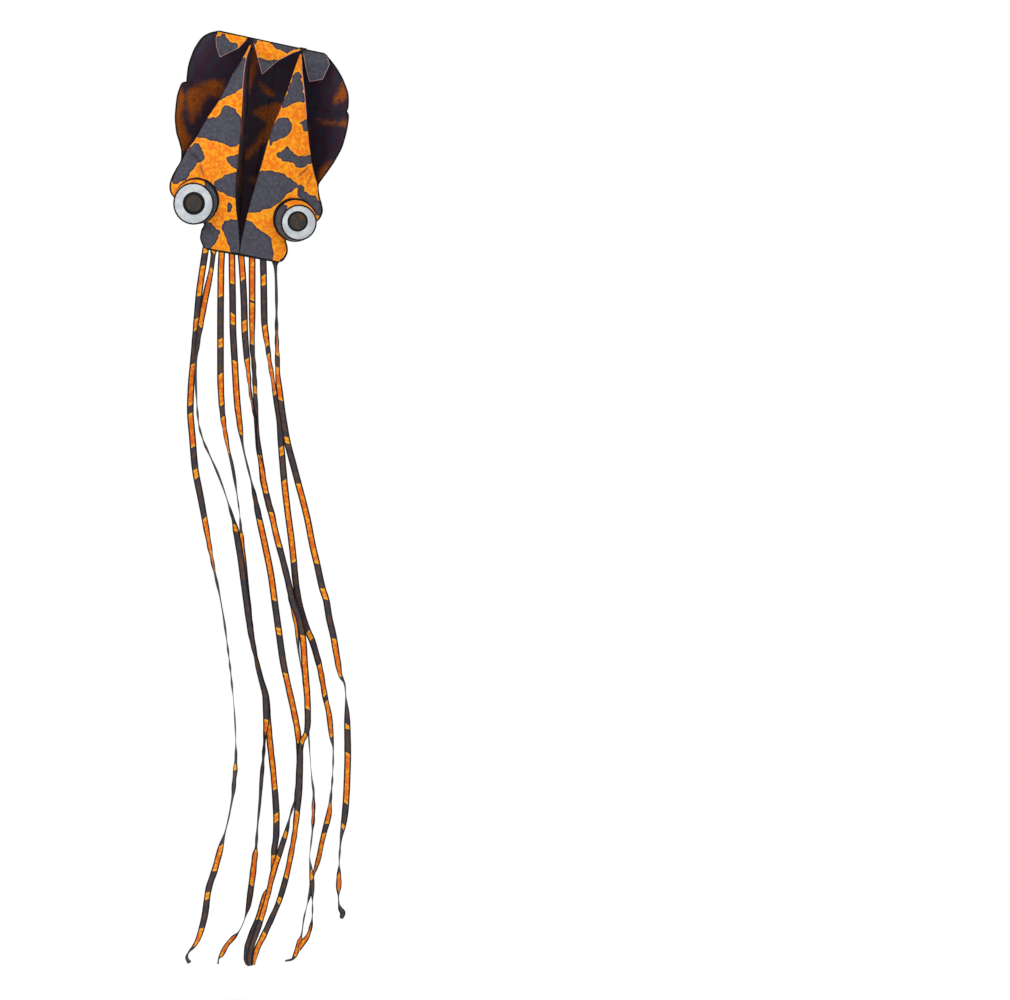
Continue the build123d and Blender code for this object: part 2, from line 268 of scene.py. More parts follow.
def rounded(outline, pieces=5):
    """Closed smooth curve through an outline's corners."""
    p = np.array(outline, float)
    before, after, later = np.roll(p, 1, 0), np.roll(p, -1, 0), np.roll(p, -2, 0)
    t = np.linspace(0, 1, pieces, endpoint=False)[None, :, None]
    curve = 0.5 * (
        2 * p[:, None]
        + (after - before)[:, None] * t
        + (2 * before - 5 * p + 4 * after - later)[:, None] * t**2
        + (3 * p - before - 3 * after + later)[:, None] * t**3
    )
    return curve.reshape(-1, 2)


def outline_distance(x, y, outline):
    """Distance from each point to a smooth closed outline, negative inside."""
    corners = rounded(outline)
    following = np.roll(corners, -1, axis=0)
    nearest = np.full(x.shape, 1e9)
    inside = np.zeros(x.shape, bool)
    for (ax, ay), (bx, by) in zip(corners, following):
        ex, ey = bx - ax, by - ay
        t = np.clip(((x - ax) * ex + (y - ay) * ey) / (ex * ex + ey * ey), 0, 1)
        nearest = np.minimum(nearest, np.hypot(x - ax - t * ex, y - ay - t * ey))
        crosses = (ay > y) != (by > y)
        edge_x = ax + (y - ay) * ex / (ey if ey else 1e-9)
        inside ^= crosses & (x < edge_x)
    return np.where(inside, -nearest, nearest)


def blob_field(across, height, blobs):
    """Distance in mm to the nearest blob of the print, negative inside it."""
    field = np.full(across.shape, 1e3)
    for blob in blobs:
        field = np.minimum(field, outline_distance(across, height, blob))
    return field


def camouflage(across, height):
    """Blobs of the same size and spacing as the front's, for the face that is seen from behind."""
    flat = np.stack(np.broadcast_arrays(across, 0.8 * height, 0.0), -1) * MM
    return 150 * (0.06 - wobble(flat, 0.13, 61) - 0.35 * wobble(flat, 0.05, 62))


def cloud_field(across, height):
    """How bright the rust-brown clouds are, from 0 to 1."""
    field = np.zeros(across.shape)
    for strength, outline in CLOUDS:
        near = outline_distance(across, height, outline)
        field = np.maximum(field, strength * np.clip(0.5 - near / 40, 0, 1))
    return field


# ---------------------------------------------------------------- materials
class Shader:
    """A fabric material with a few calls that add and join nodes."""

    def __init__(self, name, roughness=0.6, sheen=0.0, specular=0.4):
        self.material = bpy.data.materials.new(name)
        self.material.use_nodes = True
        self.tree = self.material.node_tree
        self.surface = self.tree.nodes["Principled BSDF"]
        self.surface.inputs["Roughness"].default_value = roughness
        self.surface.inputs["Sheen Weight"].default_value = sheen
        self.surface.inputs["Sheen Roughness"].default_value = 0.4
        self.surface.inputs["Specular IOR Level"].default_value = specular
        self.height = None

    def node(self, kind, settings=None, **inputs):
        made = self.tree.nodes.new(kind)
        for key, value in (settings or {}).items():
            setattr(made, key, value)
        for key, value in inputs.items():
            socket = made.inputs[int(key[1:])] if key[0] == "_" else made.inputs[key.replace("_", " ")]
            if isinstance(value, bpy.types.NodeSocket):
                self.tree.links.new(value, socket)
            else:
                socket.default_value = value
        return made

    def math(self, operation, a, b=0.0, c=0.0):
        return self.node("ShaderNodeMath", {"operation": operation}, _0=a, _1=b, _2=c).outputs[0]

    def attribute(self, name):
        return self.node("ShaderNodeAttribute", {"attribute_name": name}).outputs["Fac"]

    def noise(self, scale, detail=3.0, roughness=0.55, vector=None):
        vector = vector or self.object_place()
        made = self.node("ShaderNodeTexNoise", None, Vector=vector, Scale=scale, Detail=detail)
        made.inputs["Roughness"].default_value = roughness
        return made.outputs["Fac"]

    def object_place(self):
        return self.node("ShaderNodeTexCoord").outputs["Object"]

    def flat_place(self):
        return self.node("ShaderNodeUVMap").outputs["UV"]

    def ramp(self, value, low, high):
        """0 below low, 1 above high, smooth between."""
        settings = {"interpolation_type": "SMOOTHSTEP"}
        made = self.node("ShaderNodeMapRange", settings, _0=value, _1=low, _2=high)
        return made.outputs[0]

    def mix(self, factor, a, b):
        settings = {"data_type": "RGBA"}
        return self.node("ShaderNodeMix", settings, _0=factor, _6=a, _7=b).outputs[2]

    def raise_by(self, value, amount):
        """Adds value times amount (metres) to the relief."""
        lift = self.math("MULTIPLY", value, amount)
        self.height = self.math("ADD", self.height, lift) if self.height else lift

    def ripstop(self, pitch=0.005, amount=0.00012):
        """Fine plain weave with the raised square grid of ripstop."""
        split = self.node("ShaderNodeSeparateXYZ", None, _0=self.flat_place())
        lines = []
        for axis in (0, 1):
            turn = self.math("MULTIPLY", split.outputs[axis], 2 * math.pi / pitch)
            wave = self.math("COSINE", turn)
            lines.append(self.math("POWER", self.math("MAXIMUM", wave, 0.0), 14.0))
            fine = self.math("MULTIPLY", split.outputs[axis], 2 * math.pi / (pitch / 9))
            self.raise_by(self.math("SINE", fine), amount * 0.12)
        self.raise_by(self.math("MAXIMUM", lines[0], lines[1]), amount)
        return self.math("MAXIMUM", lines[0], lines[1])

    def creases(self, amount=0.0012):
        """Soft random creases of thin cloth."""
        self.raise_by(self.noise(26.0, 4.0), amount)
        self.raise_by(self.noise(90.0, 3.0), amount * 0.25)

    def done(self, colour, strength=0.8):
        self.tree.links.new(colour, self.surface.inputs["Base Color"])
        if self.height:
            bump = self.node("ShaderNodeBump", None, Strength=strength, Distance=1.0)
            self.tree.links.new(self.height, bump.inputs["Height"])
            self.tree.links.new(bump.outputs["Normal"], self.surface.inputs["Normal"])
        return self.material


def printed_outer():
    """Orange with amber mottling, slate blobs with a plum rim, and painted shade in the pinch of the folds.
    """
    s = Shader("print_outer", roughness=0.55, sheen=0.03, specular=0.18)
    edge_noise = s.math("MULTIPLY_ADD", s.noise(38.0, 2.0, 0.5), 26.0, -13.0)
    field = s.math("ADD", s.attribute("blob"), edge_noise)
    mottle = s.ramp(s.noise(64.0, 6.0, 0.75), 0.45, 0.60)
    fringe = s.math("SUBTRACT", 1.0, s.ramp(field, 4.0, 9.0))
    warm = s.math("MAXIMUM", mottle, s.math("MULTIPLY", fringe, 0.75))
    ground = s.mix(warm, ORANGE, AMBER)
    slate = s.mix(s.ramp(s.noise(70.0, 5.0, 0.65), 0.35, 0.7), SLATE_DARK, SLATE)
    inside = s.mix(s.ramp(field, -9.0, -2.0), slate, PLUM)
    colour = s.mix(s.ramp(field, -0.6, 0.8), inside, ground)
    # Painted shade: plum darkening along the pinch of each fold.
    colour = s.mix(s.attribute("crease_shade"), colour, PLUM)
    grid = s.ripstop()
    colour = s.mix(s.math("MULTIPLY", grid, 0.14), colour, (0.60, 0.24, 0.01, 1))
    s.creases()
    return s.done(colour)


def printed_reverse():
    """The inner face: dark, with rust clouds where the orange shows through."""
    s = Shader("print_reverse", roughness=0.62, sheen=0.03, specular=0.2)
    grain = s.noise(160.0, 3.0, 0.8)
    cloud = s.math("ADD", s.attribute("cloud"), s.math("MULTIPLY_ADD", s.noise(30.0, 5.0, 0.65), 0.9, -0.5))
    rust = s.mix(s.ramp(grain, 0.35, 0.7), RUST, RUST_BRIGHT)
    ground = s.mix(s.ramp(s.noise(22.0, 3.0), 0.4, 0.62), NAVY, NAVY_RED)
    colour = s.mix(s.ramp(cloud, 0.12, 0.75), ground, rust)
    s.ripstop()
    s.creases()
    return s.done(colour)


def ribbon_print():
    """Orange and brown-black stretches along the ribbon, with overlocked dark edges that widen inward as
    painted shade where the ribbon turns edge on.
    """
    s = Shader("ribbon", roughness=0.5, sheen=0.03, specular=0.2)
    field = s.math("ADD", s.attribute("dark"), s.math("MULTIPLY_ADD", s.noise(60.0, 4.0), 16.0, -8.0))
    fringe = s.math("SUBTRACT", 1.0, s.ramp(field, 4.0, 16.0))
    mottle = s.ramp(s.noise(60.0, 5.0, 0.7), 0.46, 0.66)
    ground = s.mix(s.math("MAXIMUM", mottle, fringe), RIBBON_ORANGE, AMBER)
    shade = s.mix(s.ramp(s.noise(35.0, 4.0), 0.42, 0.6), RIBBON_BLUE, RIBBON_DARK)
    inside = s.mix(s.ramp(field, -6.0, -2.0), shade, PLUM)
    colour = s.mix(s.ramp(field, -1.0, 1.0), inside, ground)
    edge = s.math("ADD", s.attribute("edge"), s.math("MULTIPLY_ADD", s.noise(120.0, 2.0), 1.6, -0.8))
    # Dark overlocked edges, widened inward as painted shade where the ribbon turns edge on.
    colour = s.mix(s.ramp(edge, 5.4, 7.2), EDGE_DARK_AND_SHADE, colour)
    s.ripstop()
    s.creases(0.0008)
    return s.done(colour)


def plain_cloth(name, colour, other, roughness=0.75, pitch=0.0012, amount=0.00015):
    """Plain woven cloth or webbing with a slight change of shade."""
    s = Shader(name, roughness=roughness, sheen=0.02, specular=0.12)
    tint = s.mix(s.ramp(s.noise(80.0, 4.0), 0.35, 0.7), colour, other)
    s.ripstop(pitch, amount)
    return s.done(tint)


def eye_white_cloth():
    """Pale coated cloth, greyer in soft patches."""
    s = Shader("eye_white", roughness=0.42, sheen=0.03, specular=0.3)
    patch = s.ramp(s.noise(24.0, 3.0), 0.38, 0.66)
    colour = s.mix(patch, (0.44, 0.47, 0.50, 1), EYE_WHITE)
    s.creases(0.0010)
    s.ripstop(0.004, 0.00006)
    return s.done(colour)


def pupil_cloth():
    """Black rim round a brown-grey middle."""
    s = Shader("eye_pupil", roughness=0.5, sheen=0.02, specular=0.15)
    middle = s.mix(s.ramp(s.noise(40.0, 4.0), 0.4, 0.65), (0.030, 0.030, 0.032, 1), PUPIL_BROWN)
    rim = s.ramp(s.math("ADD", s.attribute("radial"), s.math("MULTIPLY", s.noise(60.0), 1.5)), 33.5, 35.5)
    s.creases(0.0008)
    return s.done(s.mix(rim, middle, BLACK))


OUTER = printed_outer()
REVERSE = printed_reverse()
RIBBON = ribbon_print()
BINDING = plain_cloth("binding", BLACK, (0.008, 0.007, 0.009, 1))
HEM_AND_HIGHLIGHT_CLOTH = plain_cloth("hem_and_highlight_cloth", HEM_PALE_AND_HIGHLIGHT, (0.42, 0.20, 0.20, 1))
WEBBING = plain_cloth("webbing", (0.012, 0.012, 0.014, 1), (0.03, 0.03, 0.034, 1), 0.7, 0.0016, 0.0003)
THREAD = plain_cloth("thread", (0.02, 0.02, 0.022, 1), (0.05, 0.05, 0.05, 1), 0.5, 0.0006, 0.0001)
WHITE = eye_white_cloth()
PUPIL = pupil_cloth()


# ---------------------------------------------------------------- mesh makers
def new_object(name, vertices, faces, material_list, uv=None, layers=None):
    mesh = bpy.data.meshes.new(name)
    mesh.from_pydata(vertices.tolist(), [], faces)
    for material in material_list:
        mesh.materials.append(material)
    mesh.polygons.foreach_set("use_smooth", np.ones(len(mesh.polygons), bool))
    if uv is not None:
        corner = np.zeros(len(mesh.loops), int)
        mesh.loops.foreach_get("vertex_index", corner)
        layer = mesh.uv_layers.new(name="flat")
        layer.data.foreach_set("uv", uv[corner].astype(np.float32).ravel())
    for key, values in (layers or {}).items():
        attribute = mesh.attributes.new(key, "FLOAT", "POINT")
        attribute.data.foreach_set("value", values.astype(np.float32).ravel())
    mesh.update()
    made = bpy.data.objects.new(name, mesh)
    bpy.context.scene.collection.objects.link(made)
    return made


def grid_object(name, points, uv, layers, front, back=None, thickness=SKIN * MM, closed=False,
                filled=False):
    """A cloth sheet from a grid of points.  Its front is the side that the grid's normals face.

    A closed grid joins its last column to its first; a filled one has a face on its last row.
    """
    rows, columns = points.shape[:2]
    faces = []
    for i in range(rows - 1):
        for j in range(columns - 1 + closed):
            k = (j + 1) % columns
            faces.append((i * columns + j, i * columns + k, (i + 1) * columns + k, (i + 1) * columns + j))
    if filled:
        faces.append(tuple((rows - 1) * columns + j for j in range(columns)))
    flat_layers = {key: np.asarray(value).reshape(-1) for key, value in layers.items()}
    sides = [front, back or front]
    made = new_object(name, points.reshape(-1, 3), faces, sides, uv.reshape(-1, 2), flat_layers)
    if thickness:
        solid = made.modifiers.new("cloth_thickness", "SOLIDIFY")
        solid.thickness = thickness
        solid.offset = -1
        solid.material_offset = 1
        solid.material_offset_rim = 0
    return made


def tube(name, path, radius, material, flatten=1.0, sides=10, taper=0.0, ring_shaped=False):
    """A tube along points in metres, flattened across the given axis, capped or joined in a ring."""
    path = np.asarray(path, float)
    tangent = np.gradient(path, axis=0)
    if ring_shaped:
        tangent = np.roll(path, -1, axis=0) - np.roll(path, 1, axis=0)
    tangent /= np.linalg.norm(tangent, axis=1, keepdims=True)
    reference = np.tile(DEPTH, (len(path), 1))
    side = np.cross(tangent, reference)
    side /= np.maximum(np.linalg.norm(side, axis=1, keepdims=True), 1e-9)
    top = np.cross(side, tangent)
    angle = np.linspace(0, 2 * math.pi, sides, endpoint=False)
    ends = np.ones(len(path))
    if taper:
        ends = np.minimum(1, np.minimum(np.arange(len(path)) + 1, np.arange(len(path))[::-1] + 1) * taper)
    ring = (
        np.cos(angle)[None, :, None] * side[:, None, :]
        + flatten * np.sin(angle)[None, :, None] * top[:, None, :]
    )
    points = path[:, None, :] + radius * ends[:, None, None] * ring
    length = np.concatenate([[0], np.cumsum(np.linalg.norm(np.diff(path, axis=0), axis=1))])
    uv = np.zeros(points.shape[:2] + (2,))
    uv[..., 0] = angle[None, :] * radius
    uv[..., 1] = length[:, None]
    rows = len(path)
    faces = []
    for i in range(rows if ring_shaped else rows - 1):
        after = (i + 1) % rows
        for j in range(sides):
            k = (j + 1) % sides
            faces.append((i * sides + j, after * sides + j, after * sides + k, i * sides + k))
    if not ring_shaped:
        faces.append(tuple(range(sides)))
        faces.append(tuple((rows - 1) * sides + j for j in reversed(range(sides))))
    return new_object(name, points.reshape(-1, 3), faces, [material], uv.reshape(-1, 2))


def stitches(name, path, spacing, length, thickness, material, sides=5):
    """A row of short thread tubes along a path, joined as one piece."""
    path = np.asarray(path, float)
    reach = np.concatenate([[0], np.cumsum(np.linalg.norm(np.diff(path, axis=0), axis=1))])
    vertices = []
    faces = []
    for start in np.arange(spacing / 2, reach[-1] - length, spacing):
        ends = [
            np.array([np.interp(d, reach, path[:, k]) for k in range(3)]) for d in (start, start + length)
        ]
        along = ends[1] - ends[0]
        along /= np.linalg.norm(along)
        side = np.cross(along, DEPTH)
        side /= np.linalg.norm(side)
        top = np.cross(side, along)
        base = len(vertices)
        for at, size in ((0.0, 0.4), (0.25, 1.0), (0.75, 1.0), (1.0, 0.4)):
            centre = ends[0] + (ends[1] - ends[0]) * at
            for j in range(sides):
                a = 2 * math.pi * j / sides
                vertices.append(centre + thickness * size * (math.cos(a) * side + math.sin(a) * top))
        for i in range(3):
            for j in range(sides):
                k = (j + 1) % sides
                a, b = base + i * sides, base + (i + 1) * sides
                faces.append((a + j, b + j, b + k, a + k))
        faces.append(tuple(base + j for j in range(sides)))
        faces.append(tuple(base + 3 * sides + j for j in reversed(range(sides))))
    return new_object(name, np.array(vertices), faces, [material])


def turned_over(points, uv, layers):
    """The same grid with its columns in reverse, so that its front faces the other way."""
    return points[:, ::-1], uv[:, ::-1], {key: value[:, ::-1] for key, value in layers.items()}


def sewn_panel(piece, slot, node):
    """A cloth panel of the head, sewn on in place of the part it stands for."""
    on_head(piece, slot, node)
    return piece


def on_head(piece, slot, *nodes):
    """The piece is sewn to the head and stands for the nodes; the slot is not used."""
    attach(piece, "head")
    if nodes:
        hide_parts(*nodes)
    return piece


# ---------------------------------------------------------------- surfaces of the head
STITCH_PITCH = 7.0
STITCH_LENGTH = 5.0
THREAD_RADIUS = 0.4


def edge_rise(across, height):
    """The leading edge lies a little askew, higher at the left."""
    return LEADING_EDGE_RISE * across * np.clip((height - 640) / 250, 0, 1)**2


def back_place(share, height, table):
    """Point of the back's outer face: share runs from -1 at the left rim to 1 at the right."""
    left = smooth(table, 1, height)
    right = smooth(table, 2, height)
    depth = smooth(table, 3, height)
    half = (left + right) / 2
    radius = (half**2 + depth**2) / (2 * depth)
    angle = np.arcsin(np.clip(half / radius, -1, 1))
    across = radius * np.sin(share * angle) + (right - left) / 2 * share**2
    back = radius * np.cos(share * angle) + depth - radius
    return across, back


def back_panel(side, table, name, low, high, rows):
    """One quarter of the back, with puckers along its rim and soft wrinkles elsewhere."""
    columns = 64
    share = np.linspace(0, 1, columns)[None, :] * side
    height = np.linspace(low, high, rows)[:, None]
    share, height = np.broadcast_arrays(share, height)
    across, back = back_place(share, height, table)
    rise = edge_rise(across, height)
    points = to_row(across, back, height + rise)
    seam = np.minimum(height - low, high - height)
    near_rim = np.abs(share)**6
    near_seam = np.exp(-seam / 18)
    loose = np.clip(seam / 25, 0, 1) * np.clip((1 - np.abs(share)) / 0.06, 0, 1)
    bumps = (
        2.2 * near_rim * np.sin(height / 9.5 + 2 * wobble(points, 0.09, 3))
        + 2.0 * near_seam * np.sin(across / 8.0 + 2 * wobble(points, 0.08, 5))
    ) * np.clip((1 - np.abs(share)) / 0.03, 0, 1) * np.clip(seam / 4, 0, 1)
    folds = wobbles(points, (4.5, 0.12, 1), (2.2, 0.045, 2))
    normal = grid_normals(points) * side
    points = points + normal * ((bumps + folds * loose) * MM)[..., None]
    outward = normal * np.sign((normal[:, 0] @ DEPTH).mean()) * (SKIN + THREAD_RADIUS / 2) * MM
    cross_row = 1 if low == UPPER_BACK[0][0] else -2
    for seam_name, row, column in (("middle", slice(None), 1), ("cross", cross_row, slice(0, columns - 4))):
        line = (points + outward)[row, column]
        thread = stitches(
            f"{name}_{seam_name}_thread", line, STITCH_PITCH * MM, STITCH_LENGTH * MM,
            THREAD_RADIUS * MM, THREAD,
        )
        on_head(thread, "binding")
    uv = np.stack([across + UV_SHIFT, height], -1) * MM
    layers = {
        "blob": camouflage(across, height),
        "cloud": cloud_field(across, height),
    }
    if side < 0:
        points, uv, layers = turned_over(points, uv, layers)
    piece = grid_object(name + "_cloth", points, uv, layers, REVERSE, OUTER)
    return sewn_panel(piece, "print_reverse", name)


def belly_place(side, share, height):
    """Point of a belly panel: share runs from 0 at the inner edge to 1 at the outer edge."""
    inner_column, outer_column = (1, 2) if side < 0 else (3, 4)
    inner = smooth(BELLY, inner_column, height)
    outer = smooth(BELLY, outer_column, height)
    inner_depth = smooth(BELLY_DEPTH, 1, height)
    outer_depth = smooth(BELLY_DEPTH, 2, height)
    bulge = smooth(BELLY_DEPTH, 3, height)
    across = inner + (outer - inner) * share
    depth = inner_depth + (outer_depth - inner_depth) * share - 4 * bulge * share * (1 - share)
    return across, depth


def fold_depth(across, height):
    """Forward relief of the darts and folds in mm, and how much painted shade darkens each one's pinch."""
    relief = np.zeros(across.shape)
    pinch_shade = np.zeros(across.shape)
    for ax, ay, bx, by, deep, wide in FOLDS:
        ex, ey = bx - ax, by - ay
        t = np.clip(((across - ax) * ex + (height - ay) * ey) / (ex * ex + ey * ey), 0, 1)
        px, py = across - ax - t * ex, height - ay - t * ey
        offset = np.hypot(px, py) * np.sign(px * ey - py * ex + 1e-9)
        fade = np.sin(math.pi * np.clip(0.15 + 0.7 * t, 0, 1))
        ridge = 1.3 * np.exp(-((offset - wide) / wide)**2)
        groove = np.exp(-(offset / (0.5 * wide))**2)
        relief += deep * fade * (ridge - groove)
        # Painted shade in the pinch, darker for deeper folds.
        pinch_shade = np.maximum(pinch_shade, deep / 10 * fade * np.exp(-(offset / 2.4)**2))
    return relief, pinch_shade


def belly_panel(side, name, blobs):
    """One belly panel, puckered along its seams and darted under the eye."""
    rows, columns = 300, 72
    share = np.linspace(0, 1, columns)[None, :]
    height = np.linspace(HEM_FOOT, BELLY_TOP, rows)[:, None]
    share, height = np.broadcast_arrays(share, height)
    across, depth = belly_place(side, share, height)
    points = to_row(across, depth, height)
    free = np.clip(share * (1 - share) * 12, 0, 1) * np.clip((height - HEM_FOOT) / 20, 0, 1)
    free = free * np.clip((870 - height) / 160, 0, 1)
    near_edge = np.exp(-np.minimum(share, 1 - share) / 0.07) * np.clip(share * (1 - share) * 40, 0, 1)
    near_hem = np.exp(-height / 22) * np.clip((height - HEM_FOOT) / 8, 0, 1)
    puckers = 1.6 * np.sin(height / 8.0 + 3 * wobble(points, 0.07, 8))
    hem_puckers = 2.0 * np.sin(across / 7.0 + 2 * wobble(points, 0.06, 9))
    folds = wobbles(points, (4.0, 0.10, 6 + side), (1.8, 0.035, 12))
    lift = folds * free + puckers * near_edge + hem_puckers * near_hem
    relief, pinch_shade = fold_depth(across, height)
    lift = lift + relief * free
    normal = grid_normals(points)
    normal *= np.sign(-normal[..., 1:2])
    points = points + normal * (lift * MM)[..., None]
    uv = np.stack([across + UV_SHIFT, height], -1) * MM
    layers = {
        "blob": blob_field(across, height, blobs),
        "cloud": cloud_field(across, height),
        "crease_shade": pinch_shade,
    }
    if side < 0:
        points, uv, layers = turned_over(points, uv, layers)
    piece = grid_object(name + "_cloth", points, uv, layers, OUTER, REVERSE)
    return sewn_panel(piece, "print_outer", name)


def rib_panel(side, name):
    """Rib from the belly panel's inner edge back to the dome."""
    rows, columns = 160, 26
    height = np.linspace(30, 858, rows)[:, None]
    share = np.linspace(0, 1, columns)[None, :]
    share, height = np.broadcast_arrays(share, height)
    front_across, front = belly_place(side, np.zeros(share.shape), height)
    mouth_middle = (smooth(BELLY, 1, height) + smooth(BELLY, 3, height)) / 2
    root = side * smooth(RIB_ROOT, 1, height) + mouth_middle * 0.4
    lower = height < LOWER_BACK[-1][0]
    half = np.where(lower, smooth(LOWER_BACK, 2, height), smooth(UPPER_BACK, 2, height))
    table_depth = np.where(lower, smooth(LOWER_BACK, 3, height), smooth(UPPER_BACK, 3, height))
    back = table_depth * (1 - (root / half)**2) - PLY - 1
    across = front_across + (root - front_across) * share
    depth = front + PLY + (back - front - PLY) * share
    points = to_row(across, depth, height + edge_rise(across, height) * share)
    free = np.clip(share * (1 - share) * 8, 0, 1)
    folds = wobbles(points, (5, 0.13, 20 + side), (2, 0.05, 22))
    points = points + ACROSS * (folds * free * MM)[..., None]
    uv = np.stack([depth + UV_SHIFT, height], -1) * MM
    patchy = 0.25 + 0.5 * wobble(points, 0.07, 50 + side)
    layers = {"blob": np.full(share.shape, 50.0), "cloud": patchy}
    piece = grid_object(name + "_cloth", points, uv, layers, REVERSE)
    return sewn_panel(piece, "print_reverse", name)


def lip_panel(name, free_edge, sewn):
    """A lip folded over the leading edge, hanging into the mouth."""
    rows, columns = 40, 80
    corners = np.array(free_edge, float)
    reach = np.concatenate([[0], np.cumsum(np.linalg.norm(np.diff(corners, axis=0), axis=1))])
    share = np.linspace(0, 1, columns)
    low_across = np.interp(share * reach[-1], reach, corners[:, 0])
    low_height = np.interp(share * reach[-1], reach, corners[:, 1])
    top_across = sewn[0] + (sewn[1] - sewn[0]) * share
    top_height = LIP_TOP + LEADING_EDGE_RISE * top_across
    down = np.linspace(0, 1, rows)[:, None]
    across = top_across + (low_across - top_across) * down
    height = top_height + (low_height - top_height) * down
    drop = (BACK_TOP - height) / LIP_REACH
    depth = -3 - 9 * np.sin(math.pi * np.clip(drop * 1.5, 0, 1)) + 16 * drop**2
    points = to_row(across, depth, height)
    free = np.clip(down * 4, 0, 1)
    folds = wobbles(points, (5, 0.06, 31), (2, 0.025, 33))
    points = points + DEPTH * (folds * free * MM)[..., None]
    uv = np.stack([across + UV_SHIFT, height], -1) * MM
    layers = {"blob": blob_field(across, height, LIP_BLOBS), "cloud": cloud_field(across, height)}
    points, uv = points[::-1], uv[::-1]
    layers = {key: value[::-1] for key, value in layers.items()}
    piece = grid_object(name + "_cloth", points, uv, layers, OUTER, REVERSE)
    sewn_panel(piece, "print_outer", name)
    hem = tube(name + "_hem", points[0] - DEPTH * 0.4 * MM, 1.1 * MM, HEM_AND_HIGHLIGHT_CLOTH, 0.7, 8, 0.3)
    on_head(hem, "print_outer")
    return piece


for side, which, blobs in ((-1, "left", LEFT_BLOBS), (1, "right", RIGHT_BLOBS)):
    back_panel(side, LOWER_BACK, f"back_lower_{which}", LOWER_BACK[0][0], LOWER_BACK[-1][0], 170)
    back_panel(side, UPPER_BACK, f"back_upper_{which}", UPPER_BACK[0][0], UPPER_BACK[-1][0], 64)
    belly_panel(side, f"belly_{which}", blobs)
    rib_panel(side, f"rib_{which}")
for name, (free_edge, sewn) in LIPS.items():
    lip_panel(name, free_edge, sewn)


# ---------------------------------------------------------------- bound edges
def rim_path(side, table, low, high, count, out=1.5):
    """Points in metres along the back's left or right rim."""
    height = np.linspace(low, high, count)
    across, depth = back_place(np.full(count, float(side)), height, table)
    return to_row(across + side * out, depth - 1.0, height + edge_rise(across, height))


def leading_edge_path(count=90):
    """Points in metres along the back's top edge, from the left rim to the right."""
    share = np.linspace(-1, 1, count)
    height = np.full(count, float(UPPER_BACK[-1][0]))
    across, depth = back_place(share, height, UPPER_BACK)
    return to_row(across, depth - 4.0, height + 0.5 + edge_rise(across, height))


for side, which in ((-1, "left"), (1, "right")):
    lower = rim_path(side, LOWER_BACK, LOWER_BACK[0][0], LOWER_BACK[-1][0], 260)
    upper = rim_path(side, UPPER_BACK, UPPER_BACK[0][0] - 3, UPPER_BACK[-1][0], 90)
    rim = tube(f"side_binding_{which}_tape", np.vstack([lower, upper]), BINDING_RADIUS * MM, BINDING, 0.9)
    on_head(rim, "binding", f"side_binding_{which}")

edge = tube("leading_edge_binding", leading_edge_path(), BINDING_RADIUS * MM, BINDING, 1.1)
on_head(edge, "binding", "leading_edge_tape")


HEM_STRIP_BOTTOM = -11.5
HEM_STRIP_HEIGHT = 11


def hem_strip():
    """The folded hem: an oval closed band round the neck's flattened end."""
    rows, columns = 9, 220
    angle = np.linspace(0, 2 * math.pi, columns, endpoint=False)[None, :]
    level = np.linspace(0, 1, rows)[:, None]
    left, right = LOWER_BACK[0][1], LOWER_BACK[0][2]
    middle = (right - left) / 2
    half = (right + left) / 2
    squash = np.abs(np.cos(angle))**0.6 * np.sign(np.cos(angle))
    across = middle + half * squash + 0 * level
    depth = 2 + (8 + 2 * np.sin(math.pi * level)) * np.sin(angle)
    height = HEM_STRIP_BOTTOM + HEM_STRIP_HEIGHT * level + 0 * angle
    points = to_row(across, depth, height)
    points = points + DEPTH * (0.8 * wobble(points, 0.02, 40) * MM)[..., None]
    uv = np.stack([across + UV_SHIFT, height], -1) * MM
    strip = grid_object("hem_band_fold", points, uv, {}, BINDING, BINDING, 1.0 * MM, closed=True)
    return on_head(strip, "hem_webbing", "hem_band")


hem_strip()


def panel_hem_highlight(side, share, low, high, name, material):
    """Narrow pale hem on a free edge of a belly panel, partly a real hem and partly a painted highlight on
    the lit edge.
    """
    height = np.linspace(low, high, 160)
    across, depth = belly_place(side, np.full(160, float(share)), height)
    path = to_row(across, depth - 0.5, height)
    return on_head(tube(name, path, 1.7 * MM, material, 0.8, 8, 0.25), "print_outer")


# Pale hems only on the right-hand edge of each belly panel, where light falls: partly hem, partly painted
# highlight.
panel_hem_highlight(-1, 0, 640, 850, "belly_hem_highlight_left", HEM_AND_HIGHLIGHT_CLOTH)
panel_hem_highlight(1, 1, 610, 850, "belly_hem_highlight_right", HEM_AND_HIGHLIGHT_CLOTH)

# ---------------------------------------------------------------- eyes
# Eye: side, base centre and radius, face centre and radius, pupil offset and radius (across,
# height), and how far the face is turned outward and down (radians)
EYES = {
    "left": (-1, (-214, 181), 89, (-223, 165), 84, (4, 2), 48, 0.20, 0.10),
    "right": (1, (205, 177), 84, (225, 167), 72, (-7, 5), 43, 0.20, 0.12),
}
EYE_FRONT = -76.0
AROUND = np.linspace(0, 2 * math.pi, 96, endpoint=False)


